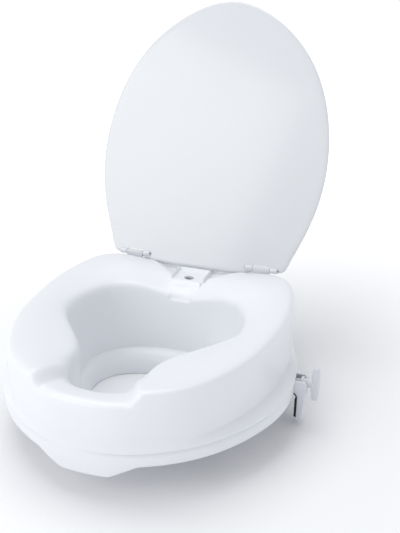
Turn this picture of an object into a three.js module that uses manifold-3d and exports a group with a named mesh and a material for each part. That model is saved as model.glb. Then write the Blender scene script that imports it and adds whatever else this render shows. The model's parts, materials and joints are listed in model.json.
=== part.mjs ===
// Raised toilet seat with a hinged lid and a screw clamp on each side.
// Millimetres, +Z up, the front of the seat towards -Y. The origin is the middle of the
// opening, on the plane of the toilet bowl's rim that the seat's pads rest on.
import * as THREE from 'three';
import { mergeVertices } from 'three/addons/utils/BufferGeometryUtils.js';
import Module from 'manifold-3d';

const wasm = await Module();
wasm.setup();

// ---------------------------------------------------------------- driving dimensions
const GAP = 0.3;                    // clearance between touching pieces
const PAD_THICKNESS = 3;            // rubber feet between the body and the bowl rim
const UNDERSIDE = PAD_THICKNESS;    // height of the body's flat underside
const TAB_DEPTH = 15;               // how far the front tab hangs below the rim plane
const TAB_HALF_BOTTOM = 30;         // half width of the tab's straight lower edge
const TAB_HALF_TOP = 62;            // half width where the tab meets the skirt
const STEP_HEIGHT = 17;             // groove between the skirt and the wall
const THROAT_BOTTOM = -14;          // inner ledge above the splash guard
const GUARD_BOTTOM = -48;           // lower edge of the splash guard inside the bowl
const WALL = 4.5;                   // blow-moulded wall, in the hollow body

// Half outlines from the middle of the front to the middle of the rear, [x, y].
const BROW = [[0, -199], [38, -196], [73, -182], [109, -156], [138, -115], [161, -58],
  [172, 5], [175, 70], [166, 131], [140, 183], [78, 204], [0, 208]];
const FOOT = [[0, -197], [39, -193], [77, -178], [114, -153], [149, -115], [179, -60],
  [193, 0], [187, 66], [167, 129], [141, 182], [78, 203], [0, 207]];
const LIP = [[0, -157], [25, -153], [44, -134], [50, -98], [68, -64], [96, -30],
  [117, 10], [112, 58], [92, 96], [56, 114], [25, 118], [0, 119]];
const THROAT = [[0, -148], [26, -143], [45, -124], [53, -96], [71, -62], [94, -27],
  [107, 18], [104, 56], [84, 86], [51, 104], [24, 110], [0, 112]];
const GUARD = [[0, -128], [26, -122], [44, -104], [56, -78], [74, -50], [88, -18],
  [95, 16], [92, 46], [74, 70], [44, 85], [21, 89], [0, 90]];
const CREST = [93, 93.5, 94, 94, 94, 94, 94, 94, 95, 95, 88, 83];    // height of the top surface
const LIP_TOP = [85, 85, 85.5, 86, 86, 87, 87, 86, 84, 80, 73, 70];  // height where it turns down

// Front dip: how far the top and the lip drop, and where along the brow the drop is whole and ends.
const DIP = { crest: 14, lip: 11, flatX: 54, endX: 70 };

// Rear recess with the vent hole of the hollow body.
const VENT = { y: 162, radius: 7, floor: 82.5, halfWidth: 23, back: 186, front: 128, rib: 3, ribTop: 87.5,
  ribFront: 146, bottom: 64 };

// Lid, in its own plane: x across, u from the hinge axis, w from the underside to the top.
const HINGE = { y: 195, z: 97.5, lean: 23.5 };      // axis, and how far the open lid leans back, degrees
const LID_OUTLINE = [[0, 398], [52, 384], [97, 353], [133, 312], [158, 262], [172, 208], [176, 152],
  [170, 100], [157, 55], [144, 22], [137, 5], [126, -1.5], [101, -1.5], [70, -6], [35, -10], [0, -11]];
const LID_CENTRE_U = 190;
const KNUCKLE = { inner: 88.3, outer: 113.7, radius: 4.6, pinRadius: 2.5, ear: 10, notchDepth: 8 };
const HINGE_MIDDLE = (KNUCKLE.inner + KNUCKLE.outer) / 2;
const HINGE_PLATE = { y: 191, thickness: 4, bottom: 58, top: 90, screwHeights: [66, 80] };
const HINGE_BOSS = { margin: 6, span: [176, 211] };  // solid plastic that the hinge screws bite in
const TROUGH_RADIUS = 7;                            // hollow under the hinge knuckles
const ABOVE = 120;                                  // a height clear of the whole body
const SCREW = { shank: 1.9, length: 12, headRadius: 4, headHeight: 2.4 };

// Clamp on each side, drawn for +X: the spindle lies along X at this place.
const CLAMP = { y: 40, z: 14, halfWidth: 12, cheek: 3.5, innerX: 176, outerX: 208.5, headTop: 19 };
const POCKET = { wallX: 168, openX: 230, clearance: 1.5, bottom: -6, top: 22 };
const CLAMP_BOSS = { innerX: 150, outerX: 196, margin: 6, top: 31 };
const NUT = { innerX: 152, outerX: 167.5, radius: 7, bore: 4.3 };
const SPINDLE = { radius: 4, innerX: 146 };
const KNOB = { neckX: 203.5, neck: 4.9, collar: 6.8, gripX: 213, gripDepth: 10.5, gripHalf: 24.5, gripWidth: 12 };
const RIM_HOLLOW = { x: 189, z: -6.5, radius: 8 };  // takes the outer edge of the bowl's rim
const ARM = { innerX: 197, tipX: 201.6, tipZ: -41, tipRadius: 1.9, shoulderZ: 8 };
const GRIP = { faceX: 196.7, toothX: 193.6, rootX: 195.2, top: -8, pitch: 4, teeth: 7 };

const SIDES = [['right', 1], ['left', -1]];

// ---------------------------------------------------------------- finishes
const finish = (color, roughness, metalness = 0) => new THREE.MeshStandardMaterial({ color, roughness, metalness });
const WHITE_PLASTIC = finish(0xf2f4f7, 0.22);
const GREY_PLASTIC = finish(0xc3c6d0, 0.45);
const BLACK_RUBBER = finish(0x2b2d31, 0.85);
const GREY_RUBBER = finish(0x8d9097, 0.85);
const STEEL = finish(0xb9bcc0, 0.3, 1);
const BRASS = finish(0xb59a5b, 0.35, 1);

// ---------------------------------------------------------------- solids
function toSolid(geometry) {
  const bare = geometry.index ? geometry.toNonIndexed() : geometry.clone();
  for (const name of Object.keys(bare.attributes)) if (name !== 'position') bare.deleteAttribute(name);
  const merged = mergeVertices(bare, 1e-4);
  return new wasm.Manifold(new wasm.Mesh({
    numProp: 3, vertProperties: merged.attributes.position.array, triVerts: new Uint32Array(merged.index.array),
  }));
}

function toGeometry(solid) {
  const mesh = solid.getMesh();
  const geometry = new THREE.BufferGeometry();
  geometry.setAttribute('position', new THREE.BufferAttribute(new Float32Array(mesh.vertProperties), 3));
  geometry.setIndex(new THREE.BufferAttribute(new Uint32Array(mesh.triVerts), 1));
  geometry.computeVertexNormals();
  return geometry;
}

function box([x0, x1], [y0, y1], [z0, z1]) {
  const geometry = new THREE.BoxGeometry(x1 - x0, y1 - y0, z1 - z0);
  return toSolid(geometry.translate((x0 + x1) / 2, (y0 + y1) / 2, (z0 + z1) / 2));
}

// A box that spans x0 to x1 on the +X side, or its mirror image on the -X side.
const sideBox = (side, [x0, x1], y, z) => box([side * x0, side * x1].sort((a, b) => a - b), y, z);

// A solid of revolution about the X axis: profile is [x, radius], from axis to axis.
function turnedX(profile, y, z, segments = 24) {
  const points = profile.map(([x, r]) => new THREE.Vector2(r, x));
  const geometry = new THREE.LatheGeometry(points, segments).rotateZ(-Math.PI / 2);
  return outward(geometry.translate(0, y, z));
}

function cylinderX([x0, x1], radius, y, z, segments = 24) {
  const geometry = new THREE.CylinderGeometry(radius, radius, x1 - x0, segments).rotateZ(Math.PI / 2);
  return toSolid(geometry.translate((x0 + x1) / 2, y, z));
}

const sideCylinder = (side, [x0, x1], ...rest) => cylinderX([side * x0, side * x1].sort((a, b) => a - b), ...rest);

function signedVolume(geometry) {
  const p = geometry.attributes.position;
  const index = geometry.index.array;
  const [a, b, c] = [new THREE.Vector3(), new THREE.Vector3(), new THREE.Vector3()];
  let volume = 0;
  for (let i = 0; i < index.length; i += 3) {
    a.fromBufferAttribute(p, index[i]);
    b.fromBufferAttribute(p, index[i + 1]);
    c.fromBufferAttribute(p, index[i + 2]);
    volume += a.dot(b.cross(c)) / 6;
  }
  return volume;
}

// Turns a closed mesh the right way out and makes it a solid.
function outward(geometry) {
  if (signedVolume(geometry) < 0) {
    const index = geometry.index.array;
    for (let i = 0; i < index.length; i += 3) [index[i], index[i + 1]] = [index[i + 1], index[i]];
  }
  return toSolid(geometry);
}

// A surface through rows of points, closed around each row. The rows also close on each
// other, or end in a single point at each end.
function lofted(rows, capped = false) {
  const count = rows[0].length;
  const positions = rows.flat(2);
  const index = [];
  const bands = capped ? rows.length - 1 : rows.length;
  for (let i = 0; i < bands; i++) {
    const next = (i + 1) % rows.length;
    for (let j = 0; j < count; j++) {
      const k = (j + 1) % count;
      const [a, b, c, d] = [i * count + j, i * count + k, next * count + k, next * count + j];
      index.push(a, b, c, a, c, d);
    }
  }
  if (capped) {
    for (const [row, turned] of [[0, true], [rows.length - 1, false]]) {
      const centre = positions.length / 3;
      const middle = [0, 1, 2].map((axis) => rows[row].reduce((sum, p) => sum + p[axis], 0) / count);
      positions.push(...middle);
      for (let j = 0; j < count; j++) {
        const [a, b] = [row * count + j, row * count + (j + 1) % count];
        index.push(...(turned ? [b, a, centre] : [a, b, centre]));
      }
    }
  }
  const geometry = new THREE.BufferGeometry();
  geometry.setAttribute('position', new THREE.Float32BufferAttribute(positions, 3));
  geometry.setIndex(index);
  return outward(geometry);
}

// An extrusion of an XZ profile through a width along Y, centred on y.
function plateXZ(points, width, y) {
  const shape = new THREE.Shape(points.map(([x, z]) => new THREE.Vector2(x, z)));
  const geometry = new THREE.ExtrudeGeometry(shape, { depth: width, bevelEnabled: false });
  return toSolid(geometry.rotateX(Math.PI / 2).translate(0, y + width / 2, 0));
}

const arc = (cx, cz, radius, from, to, steps) => Array.from({ length: steps + 1 }, (_, i) => {
  const angle = THREE.MathUtils.degToRad(from + (to - from) * i / steps);
  return [cx + radius * Math.cos(angle), cz + radius * Math.sin(angle)];
});

const mirrored = (solid, side) => (side < 0 ? solid.mirror([1, 0, 0]) : solid);

// ---------------------------------------------------------------- smooth closed curves
// Uniform cubic B-spline weights that make a closed curve pass through the given values.
function loopWeights(values) {
  const n = values.length;
  let weights = [...values];
  for (let pass = 0; pass < 50; pass++) {
    weights = weights.map((_, i) => (6 * values[i] - weights[(i + n - 1) % n] - weights[(i + 1) % n]) / 4);
  }
  return weights;
}

function loopValue(weights, t) {
  const n = weights.length;
  const i = Math.floor(t);
  const u = t - i;
  const blend = [(1 - u) ** 3, 3 * u ** 3 - 6 * u ** 2 + 4, -3 * u ** 3 + 3 * u ** 2 + 3 * u + 1, u ** 3];
  return blend.reduce((sum, b, k) => sum + b * weights[(i + k - 1 + n) % n] / 6, 0);
}

// Half a list of values, front to rear, made a whole loop; sign -1 for what changes sides.
const wholeLoop = (half, sign) => [...half, ...half.slice(1, -1).reverse().map((value) => sign * value)];

function smoothOutline(half) {
  const x = loopWeights(wholeLoop(half.map((p) => p[0]), -1));
  const y = loopWeights(wholeLoop(half.map((p) => p[1]), 1));
  return (t) => [loopValue(x, t), loopValue(y, t)];
}

function smoothHeight(half) {
  const weights = loopWeights(wholeLoop(half, 1));
  return (t) => loopValue(weights, t);
}

// ---------------------------------------------------------------- seat body
const outlines = {
  brow: smoothOutline(BROW), foot: smoothOutline(FOOT), lip: smoothOutline(LIP),
  throat: smoothOutline(THROAT), guard: smoothOutline(GUARD),
};
const crestAt = smoothHeight(CREST);
const lipTopAt = smoothHeight(LIP_TOP);
const STATIONS = 2 * BROW.length - 2;

// Depth of the front tab below the rim plane at x: a trapezium.
const tabAt = (x, y) => (y > 0 ? 0
  : TAB_DEPTH * THREE.MathUtils.clamp((TAB_HALF_TOP - Math.abs(x)) / (TAB_HALF_TOP - TAB_HALF_BOTTOM), 0, 1));

// Share of the front dip at x: whole in the middle, none beyond its end, smooth between.
function dipAt(x, y) {
  const k = THREE.MathUtils.clamp((DIP.endX - Math.abs(x)) / (DIP.endX - DIP.flatX), 0, 1);
  return y > 0 ? 0 : k * k * (3 - 2 * k);
}

// Control rings of the section, walked from the underside out, up the wall, over the top, down
// through the opening and back: [outline, mm inward, height, times]. A ring named twice over
// makes a crisp edge, and a pair of outlines is mixed by the given share of the first.
const BODY_RINGS = [
  ['foot', 8, () => UNDERSIDE, 2],
  ['foot', 6, (s) => -s.tab, 2],
  ['foot', 0.8, (s) => -s.tab, 2],
  ['foot', 0, () => 5, 1],
  ['foot', 0.6, () => 12, 1],
  ['foot', 2.5, () => STEP_HEIGHT, 1],
  [['foot', 'brow', 0.85], -0.5, () => STEP_HEIGHT + 4, 1],
  [['foot', 'brow', 0.45], -1, () => 32, 1],
  [['foot', 'brow', 0.08], 0, () => 48, 1],
  ['brow', 0.3, (s) => s.crest - 28, 1],
  ['brow', 0.3, (s) => s.crest - 14, 1],
  ['brow', 1.5, (s) => s.crest - 3, 1],
  ['brow', 8, (s) => s.crest + 2, 1],
  [['brow', 'lip', 0.7], 0, (s) => s.crest + 1.5, 1],
  [['brow', 'lip', 0.5], 0, (s) => s.crest, 1],
  [['brow', 'lip', 0.3], 0, (s) => (s.crest + s.lipTop) / 2 + 1, 1],
  ['lip', -9, (s) => s.lipTop + 1.5, 1],
  ['lip', -2, (s) => s.lipTop - 4, 1],
  ['lip', 0, (s) => s.lipTop - 16, 1],
  [['lip', 'throat', 0.6], 0, () => 34, 1],
  ['throat', 0, () => 6, 1],
  ['throat', 0, () => THROAT_BOTTOM, 2],
  ['throat', 5, () => THROAT_BOTTOM - 2, 2],
  ['guard', 0, () => THROAT_BOTTOM - 12, 1],
  ['guard', 0, () => GUARD_BOTTOM, 2],
  ['guard', -4, () => GUARD_BOTTOM, 2],
  ['guard', -4.5, () => THROAT_BOTTOM - 16, 1],
  ['throat', -5, () => THROAT_BOTTOM - 6, 2],
  ['throat', -6, () => UNDERSIDE - 4, 1],
  ['throat', -10, () => UNDERSIDE, 2],
];

// The hollow inside the body, a wall's thickness within it.
const HOLLOW_RINGS = [
  ['foot', 14, () => UNDERSIDE + WALL, 2],
  ['brow', WALL + 1, () => STEP_HEIGHT + 6, 1],
  ['brow', WALL, () => 48, 1],
  ['brow', WALL, (s) => s.crest - 18, 1],
  ['brow', 12, (s) => s.crest - WALL - 2, 2],
  [['brow', 'lip', 0.5], 0, (s) => (s.crest + s.lipTop) / 2 - WALL - 4, 1],
  ['lip', -12, (s) => s.lipTop - WALL - 6, 1],
  ['lip', -WALL - 2, (s) => s.lipTop - 24, 1],
  [['lip', 'throat', 0.6], -WALL - 2, () => 34, 1],
  ['throat', -WALL - 2, () => UNDERSIDE + WALL + 2, 2],
];

function sectionAt(t, rings) {
  const at = Object.fromEntries(Object.entries(outlines).map(([name, outline]) => [name, outline(t)]));
  const [dx, dy] = [at.lip[0] - at.brow[0], at.lip[1] - at.brow[1]];
  const reach = Math.hypot(dx, dy);
  const dip = dipAt(...at.brow);
  const station = {
    crest: crestAt(t) - DIP.crest * dip, lipTop: lipTopAt(t) - DIP.lip * dip, tab: tabAt(...at.foot),
  };
  return rings.flatMap(([name, inward, height, times]) => {
    const base = typeof name === 'string' ? at[name]
      : at[name[0]].map((value, axis) => name[2] * value + (1 - name[2]) * at[name[1]][axis]);
    const point = [base[0] + dx / reach * inward, base[1] + dy / reach * inward, height(station)];
    return Array(times).fill(point);
  });
}

// Rows across the loft, one for each step around the section.
function sectionLoft(rings, around, perRing) {
  const sections = Array.from({ length: around }, (_, i) => sectionAt(STATIONS * i / around, rings));
  const steps = sections[0].length * perRing;
  return lofted(Array.from({ length: steps }, (_, j) => sections.map((section) => [0, 1, 2].map(
    (axis) => loopValue(section.map((point) => point[axis]), j / perRing)))));
}

const clampSpan = (extra) => [CLAMP.y - CLAMP.halfWidth - extra, CLAMP.y + CLAMP.halfWidth + extra];

function seatBody() {
  const shape = sectionLoft(BODY_RINGS, 3 * STATIONS, 1);
  let body = shape.subtract(sectionLoft(HOLLOW_RINGS, 2 * STATIONS, 1));

  // Solid bosses inside the hollow, trimmed to the body's outer shape.
  for (const [, side] of SIDES) {
    const clampBoss = sideBox(side, [CLAMP_BOSS.innerX, CLAMP_BOSS.outerX], clampSpan(CLAMP_BOSS.margin),
      [UNDERSIDE, CLAMP_BOSS.top]);
    const hingeBoss = sideBox(side, [KNUCKLE.inner - HINGE_BOSS.margin, KNUCKLE.outer + HINGE_BOSS.margin],
      HINGE_BOSS.span, [HINGE_PLATE.bottom - HINGE_BOSS.margin, HINGE_PLATE.top + HINGE_BOSS.margin]);
    body = body.add(clampBoss.add(hingeBoss).intersect(shape));
  }

  // Vent recess: an upstand on three sides of a flat floor, open towards the opening.
  const ribHalf = VENT.halfWidth + VENT.rib;
  body = body.add(box([-ribHalf, ribHalf], [VENT.ribFront, VENT.back + VENT.rib], [VENT.bottom, VENT.ribTop]));
  body = body.subtract(box([-VENT.halfWidth, VENT.halfWidth], [VENT.front, VENT.back], [VENT.floor, ABOVE]));
  const vent = new THREE.CylinderGeometry(VENT.radius, VENT.radius, 40, 24).rotateX(Math.PI / 2);
  body = body.subtract(toSolid(vent.translate(0, VENT.y, VENT.floor - 10)));

  for (const [, side] of SIDES) {
    body = body.subtract(sideBox(side, [POCKET.wallX, POCKET.openX], clampSpan(POCKET.clearance),
      [POCKET.bottom, POCKET.top]));
    body = body.subtract(sideCylinder(side, [CLAMP_BOSS.innerX - 5, POCKET.wallX + 5],
      NUT.radius + GAP, CLAMP.y, CLAMP.z));
    body = body.subtract(sideBox(side, [KNUCKLE.inner - 1, KNUCKLE.outer + 1],
      [HINGE_PLATE.y, HINGE_PLATE.y + 30], [HINGE_PLATE.bottom - 1, ABOVE]));
    body = body.subtract(sideCylinder(side, [KNUCKLE.inner - KNUCKLE.ear - 4, KNUCKLE.outer + KNUCKLE.ear + 4],
      TROUGH_RADIUS, HINGE.y, HINGE.z));
    for (const height of HINGE_PLATE.screwHeights) {
      body = body.subtract(cylinderY([HINGE_PLATE.y - SCREW.length, HINGE_PLATE.y + 1], SCREW.shank + GAP,
        side * HINGE_MIDDLE, height));
    }
  }
  return body;
}

function cylinderY([y0, y1], radius, x, z, segments = 16) {
  const geometry = new THREE.CylinderGeometry(radius, radius, y1 - y0, segments);
  return toSolid(geometry.translate(x, (y0 + y1) / 2, z));
}

// ---------------------------------------------------------------- lid
// Rings of the lid's section, underside to top: [mm in from the outline, w].
const LID_RINGS = [[150, 1.2], [60, 1], [22, 0.8], [12, 0.3], [5, 0], [1.4, 0.8], [0, 2.8],
  [1.4, 4.8], [5, 5.6], [16, 6.4], [60, 8], [150, 8.8]];

// Lid coordinates to the open lid's place on its hinge.
function openLid(x, u, w) {
  const lean = THREE.MathUtils.degToRad(HINGE.lean);
  return [x, HINGE.y + u * Math.sin(lean) + w * Math.cos(lean), HINGE.z + u * Math.cos(lean) - w * Math.sin(lean)];
}

function lid() {
  const outline = smoothOutline(LID_OUTLINE);
  const loop = 2 * LID_OUTLINE.length - 2;
  const around = 2 * loop;
  const rows = LID_RINGS.map(([inset, w]) => Array.from({ length: around }, (_, i) => {
    const [x, u] = outline(loop * i / around);
    const reach = Math.hypot(x, u - LID_CENTRE_U);
    const keep = 1 - inset / reach;
    return openLid(x * keep, LID_CENTRE_U + (u - LID_CENTRE_U) * keep, w);
  }));
  let solid = lofted(rows, true);
  const lean = HINGE.lean;
  const inPlace = (geometry) => toSolid(geometry
    .rotateX(-THREE.MathUtils.degToRad(lean)).translate(0, HINGE.y, HINGE.z));
  for (const [, side] of SIDES) {
    const notchWidth = KNUCKLE.outer - KNUCKLE.inner + 2 * GAP;
    const notch = new THREE.BoxGeometry(notchWidth, 40, 30 + KNUCKLE.notchDepth)
      .translate(side * HINGE_MIDDLE, 0, KNUCKLE.notchDepth / 2 - 15);
    for (const [from, to] of [[KNUCKLE.inner - GAP - KNUCKLE.ear, KNUCKLE.inner - GAP],
      [KNUCKLE.outer + GAP, KNUCKLE.outer + GAP + KNUCKLE.ear]]) {
      solid = solid.add(sideCylinder(side, [from, to], KNUCKLE.radius, HINGE.y, HINGE.z));
    }
    solid = solid.subtract(inPlace(notch));
    const bore = KNUCKLE.pinRadius + GAP;
    solid = solid.subtract(sideCylinder(side, [KNUCKLE.inner - 12, KNUCKLE.outer + 12], bore, HINGE.y, HINGE.z));
  }
  return solid;
}

// ---------------------------------------------------------------- hinges
function hingeBracket(side) {
  const { y, thickness, bottom } = HINGE_PLATE;
  const front = y + GAP;
  let bracket = sideBox(side, [KNUCKLE.inner, KNUCKLE.outer], [front, front + thickness], [bottom, HINGE.z]);
  bracket = bracket.add(sideCylinder(side, [KNUCKLE.inner, KNUCKLE.outer], KNUCKLE.radius, HINGE.y, HINGE.z));
  const bore = KNUCKLE.pinRadius + GAP;
  bracket = bracket.subtract(sideCylinder(side, [KNUCKLE.inner - 1, KNUCKLE.outer + 1], bore, HINGE.y, HINGE.z));
  for (const height of HINGE_PLATE.screwHeights) {
    bracket = bracket.subtract(cylinderY([y - 1, y + thickness + 2], SCREW.shank + GAP, side * HINGE_MIDDLE, height));
  }
  return bracket;
}

const hingePin = (side) => sideCylinder(side, [KNUCKLE.inner - KNUCKLE.ear, KNUCKLE.outer + KNUCKLE.ear],
  KNUCKLE.pinRadius, HINGE.y, HINGE.z);

function hingeScrew(x, z) {
  const seatY = HINGE_PLATE.y + GAP + HINGE_PLATE.thickness + GAP;
  const shank = cylinderY([HINGE_PLATE.y - SCREW.length + 1, seatY + 1], SCREW.shank, x, z);
  return shank.add(cylinderY([seatY, seatY + SCREW.headHeight], SCREW.headRadius, x, z));
}

// ---------------------------------------------------------------- clamps, drawn for the +X side
function clampBracket() {
  const { y, z, halfWidth, cheek, innerX, outerX, headTop } = CLAMP;
  const headBottom = RIM_HOLLOW.z + RIM_HOLLOW.radius;
  const corner = 7;
  const profile = [
    [innerX, headBottom], ...arc(RIM_HOLLOW.x, RIM_HOLLOW.z, RIM_HOLLOW.radius, 90, 0, 5),
    [ARM.innerX, ARM.tipZ + 4], [ARM.innerX + 2, ARM.tipZ + 2],
    ...arc(ARM.tipX, ARM.tipZ, ARM.tipRadius, 200, 350, 4),
    [outerX - 0.5, ARM.shoulderZ], [outerX, ARM.shoulderZ + 0.4],
    ...arc(outerX - corner, headTop - corner, corner, 0, 90, 5), [innerX, headTop],
  ];
  let bracket = plateXZ(profile, 2 * halfWidth, y);
  const trough = [y - halfWidth + cheek, y + halfWidth - cheek];
  bracket = bracket.subtract(box([innerX + 5, KNOB.neckX], trough, [z - KNOB.collar - 1, 40]));
  bracket = bracket.subtract(cylinderX([innerX - 1, innerX + 6], SPINDLE.radius + 2 * GAP, y, z));
  bracket = bracket.subtract(cylinderX([KNOB.neckX - 1, outerX + 1], KNOB.neck + GAP, y, z));
  return bracket.subtract(box([KNOB.neckX - 1, outerX + 1], [y - KNOB.neck - GAP, y + KNOB.neck + GAP], [z, 40]));
}

// Rubber strip: lines the hollow that takes the bowl's rim, then runs down the arm in teeth.
function gripPad() {
  const teeth = Array.from({ length: GRIP.teeth }, (_, i) => {
    const top = GRIP.top - i * GRIP.pitch;
    return [[GRIP.rootX, top], [GRIP.toothX, top - GRIP.pitch / 2]];
  }).flat();
  const bottom = GRIP.top - GRIP.teeth * GRIP.pitch;
  const { x, z } = RIM_HOLLOW;
  const profile = [
    [GRIP.faceX, bottom], ...arc(x, z, GRIP.faceX - x, 0, 90, 5),
    ...arc(x, z, GRIP.rootX - x, 90, 0, 5), ...teeth, [GRIP.rootX, bottom],
  ];
  return plateXZ(profile, 2 * CLAMP.halfWidth - 2, CLAMP.y);
}

// Moulded knob: a collar and neck that turn in the bracket's slot, a tapered hub and a
// T-shaped grip with rounded ends, upright at rest.
function clampKnob() {
  const { neckX, neck, collar, gripX, gripDepth, gripHalf, gripWidth } = KNOB;
  const { y, z, outerX } = CLAMP;
  const bore = SPINDLE.radius + GAP;
  const stem = turnedX([[neckX - 4, bore], [neckX - 4, collar], [neckX - GAP, collar], [neckX - GAP, neck],
    [outerX + GAP, neck], [outerX + GAP, collar], [gripX, collar + 0.8], [gripX + 3, collar + 0.8],
    [gripX + 3, bore], [neckX - 4, bore]], y, z);
  const shape = new THREE.Shape();
  const bend = gripWidth / 2;
  shape.moveTo(-bend, bend - gripHalf);
  shape.absarc(0, bend - gripHalf, bend, Math.PI, 2 * Math.PI, false);
  shape.absarc(0, gripHalf - bend, bend, 0, Math.PI, false);
  const grip = new THREE.ExtrudeGeometry(shape, {
    depth: gripDepth - 3, curveSegments: 6, bevelSize: 1.5, bevelThickness: 1.5, bevelOffset: -1.5, bevelSegments: 1,
  });
  grip.rotateX(Math.PI / 2).rotateZ(Math.PI / 2);
  grip.computeBoundingBox();
  const centre = grip.boundingBox.getCenter(new THREE.Vector3());
  grip.translate(gripX + gripDepth / 2 - centre.x, y - centre.y, z - centre.z);
  const socket = cylinderX([gripX - 1, gripX + 5], bore, y, z);
  return stem.add(toSolid(grip)).subtract(socket);
}

const clampSpindle = () => cylinderX([SPINDLE.innerX, KNOB.gripX + 4], SPINDLE.radius, CLAMP.y, CLAMP.z);

function clampNut() {
  const blank = cylinderX([NUT.innerX, NUT.outerX], NUT.radius, CLAMP.y, CLAMP.z);
  return blank.subtract(cylinderX([NUT.innerX - 1, NUT.outerX + 1], NUT.bore, CLAMP.y, CLAMP.z));
}

// ---------------------------------------------------------------- rim pads
// Rubber feet under the body: [name, x, y, angle of the long axis in degrees].
const RIM_PADS = [['front_right', 112, -92, 48], ['front_left', -112, -92, -48],
  ['rear_right', 118, 128, -52], ['rear_left', -118, 128, 52]];
const RIM_PAD = { length: 52, width: 20 };

function rimPad(x, y, angle) {
  const shape = new THREE.Shape();
  const bend = RIM_PAD.width / 2;
  const half = RIM_PAD.length / 2 - bend;
  shape.absarc(half, 0, bend, -Math.PI / 2, Math.PI / 2, false);
  shape.absarc(-half, 0, bend, Math.PI / 2, 3 * Math.PI / 2, false);
  const depth = PAD_THICKNESS - GAP;
  const geometry = new THREE.ExtrudeGeometry(shape, { depth, bevelEnabled: false, curveSegments: 8 });
  return toSolid(geometry.rotateZ(THREE.MathUtils.degToRad(angle)).translate(x, y, 0));
}

// ---------------------------------------------------------------- assembly
const group = new THREE.Group();

function place(name, solid, material) {
  const mesh = new THREE.Mesh(toGeometry(solid), material);
  mesh.name = name;
  group.add(mesh);
}

place('seat_body', seatBody(), WHITE_PLASTIC);
place('lid', lid(), WHITE_PLASTIC);
for (const [name, x, y, angle] of RIM_PADS) place(`rim_pad_${name}`, rimPad(x, y, angle), GREY_RUBBER);

for (const [name, side] of SIDES) {
  place(`hinge_bracket_${name}`, hingeBracket(side), WHITE_PLASTIC);
  place(`hinge_pin_${name}`, hingePin(side), STEEL);
  HINGE_PLATE.screwHeights.forEach((height, i) => {
    place(`hinge_screw_${name}_${i ? 'upper' : 'lower'}`, hingeScrew(side * HINGE_MIDDLE, height), STEEL);
  });
  place(`clamp_bracket_${name}`, mirrored(clampBracket(), side), GREY_PLASTIC);
  place(`clamp_grip_${name}`, mirrored(gripPad(), side), BLACK_RUBBER);
  place(`clamp_knob_${name}`, mirrored(clampKnob(), side), GREY_PLASTIC);
  place(`clamp_spindle_${name}`, mirrored(clampSpindle(), side), STEEL);
  place(`clamp_nut_${name}`, mirrored(clampNut(), side), BRASS);
}

export default group;
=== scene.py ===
"""Raised toilet seat with a hinged lid and a screw clamp on each side, made as fine Blender meshes.

The joints' places and the boxes of the small pieces come from the frame. Lengths in the tables are
millimetres, in the frame's own axes: +Z up, the front of the seat towards -Y, the middle of the
opening on the plane of the toilet's rim at zero.
"""

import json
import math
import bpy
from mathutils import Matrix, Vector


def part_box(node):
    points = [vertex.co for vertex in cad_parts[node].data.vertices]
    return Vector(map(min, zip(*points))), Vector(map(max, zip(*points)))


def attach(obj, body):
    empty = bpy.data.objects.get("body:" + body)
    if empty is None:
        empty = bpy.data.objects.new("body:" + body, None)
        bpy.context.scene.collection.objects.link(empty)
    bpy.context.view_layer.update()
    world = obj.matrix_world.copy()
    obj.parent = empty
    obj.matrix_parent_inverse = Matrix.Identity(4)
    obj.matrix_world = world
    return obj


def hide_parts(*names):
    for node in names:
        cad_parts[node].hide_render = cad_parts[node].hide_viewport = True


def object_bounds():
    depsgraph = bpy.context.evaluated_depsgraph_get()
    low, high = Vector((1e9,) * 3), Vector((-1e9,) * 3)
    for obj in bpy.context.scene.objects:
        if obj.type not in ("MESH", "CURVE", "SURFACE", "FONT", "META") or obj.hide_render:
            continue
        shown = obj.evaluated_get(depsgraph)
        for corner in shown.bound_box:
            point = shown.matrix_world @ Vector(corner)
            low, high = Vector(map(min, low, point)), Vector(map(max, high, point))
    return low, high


bl_info = {
    "name": "Raised Toilet Seat",
    "version": (1, 0, 0),
    "blender": (4, 5, 0),
    "location": "3D View > Sidebar > Raised Seat",
    "description": "Builds a raised toilet seat, its lid, hinges and rim clamps as detailed meshes",
    "category": "Add Mesh",
}

import bmesh
import bpy
import numpy as np
from bpy.props import FloatProperty, FloatVectorProperty, IntProperty, PointerProperty
from bpy.types import Operator, Panel, PropertyGroup
from mathutils import Matrix, Vector

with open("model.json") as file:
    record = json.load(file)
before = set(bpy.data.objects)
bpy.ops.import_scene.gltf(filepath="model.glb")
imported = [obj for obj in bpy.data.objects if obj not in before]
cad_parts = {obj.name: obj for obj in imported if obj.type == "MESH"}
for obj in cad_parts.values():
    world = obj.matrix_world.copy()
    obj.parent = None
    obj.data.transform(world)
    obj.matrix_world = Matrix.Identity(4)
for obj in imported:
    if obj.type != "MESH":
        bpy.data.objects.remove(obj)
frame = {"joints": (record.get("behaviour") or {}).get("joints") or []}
CAD_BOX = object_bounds()

MM = 0.001
SIDES = (("right", 1), ("left", -1))
JOINTS = {joint["name"]: joint for joint in frame["joints"]}
# Y and Z of the lines along X that the lid and the knobs turn about.
HINGE_LINE = HINGE_Y, HINGE_Z = tuple(value / MM for value in JOINTS["lid_hinge"]["pos_m"][1:])
CLAMP_LINE = CLAMP_Y, CLAMP_Z = tuple(value / MM for value in JOINTS["knob_turn_right"]["pos_m"][1:])

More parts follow.
